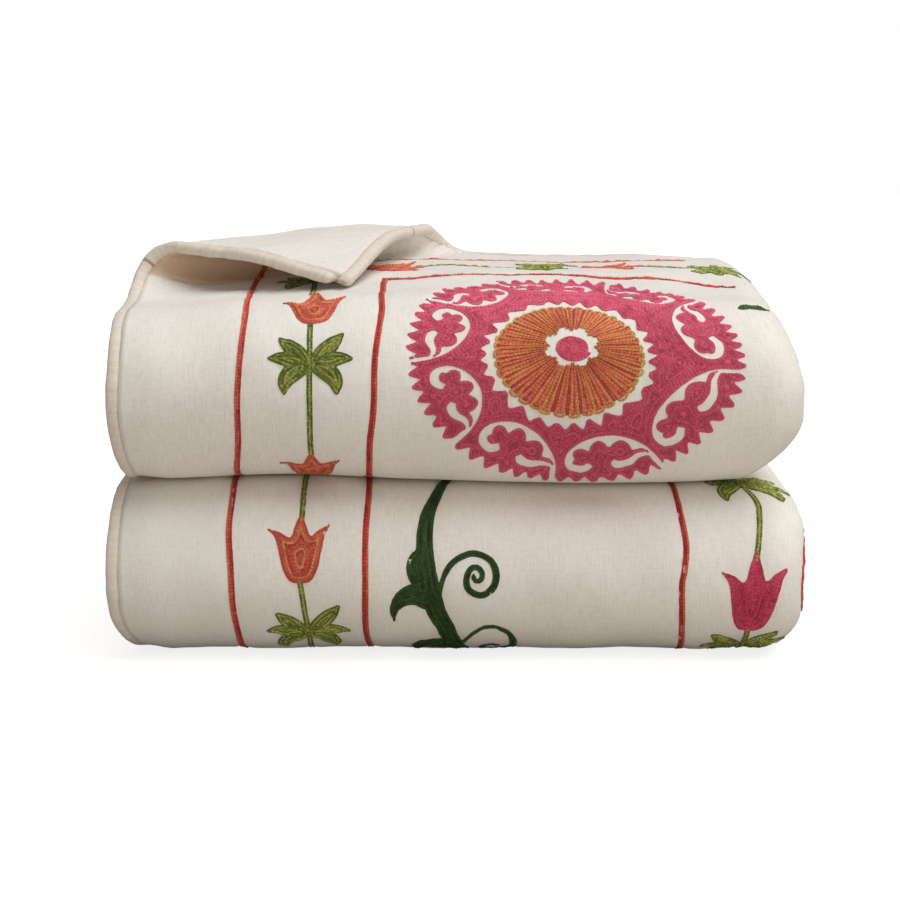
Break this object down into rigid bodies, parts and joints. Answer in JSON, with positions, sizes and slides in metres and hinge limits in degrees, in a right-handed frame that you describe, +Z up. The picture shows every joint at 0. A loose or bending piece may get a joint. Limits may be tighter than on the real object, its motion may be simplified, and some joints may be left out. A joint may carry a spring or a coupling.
{
  "type": "suzani embroidered textile",
  "caption": "Bound and filled suzani quilt, folded into two plump bundles with one corner of the top ply turned forward.",
  "frame": {"origin": "centre of the bounding box on the surface that the folded quilt rests on", "axes": "+X to the right and +Z up, seen from the front, where both bundles show their folds; +Y to the rear"},
  "size_m": [0.5806, 0.4342, 0.3447],
  "materials": {
    "cream_cotton": "slubby cream cotton plain weave with coloured chain stitch",
    "cream_binding": "plain cream cotton, rolled and stitched"
  },
  "bodies": {
    "root": {"quilt": "cream_cotton", "binding_side_outer": "cream_binding", "binding_side_inner": "cream_binding", "binding_end_top": "cream_binding", "binding_end_bottom": "cream_binding"}
  },
  "joints": []
}
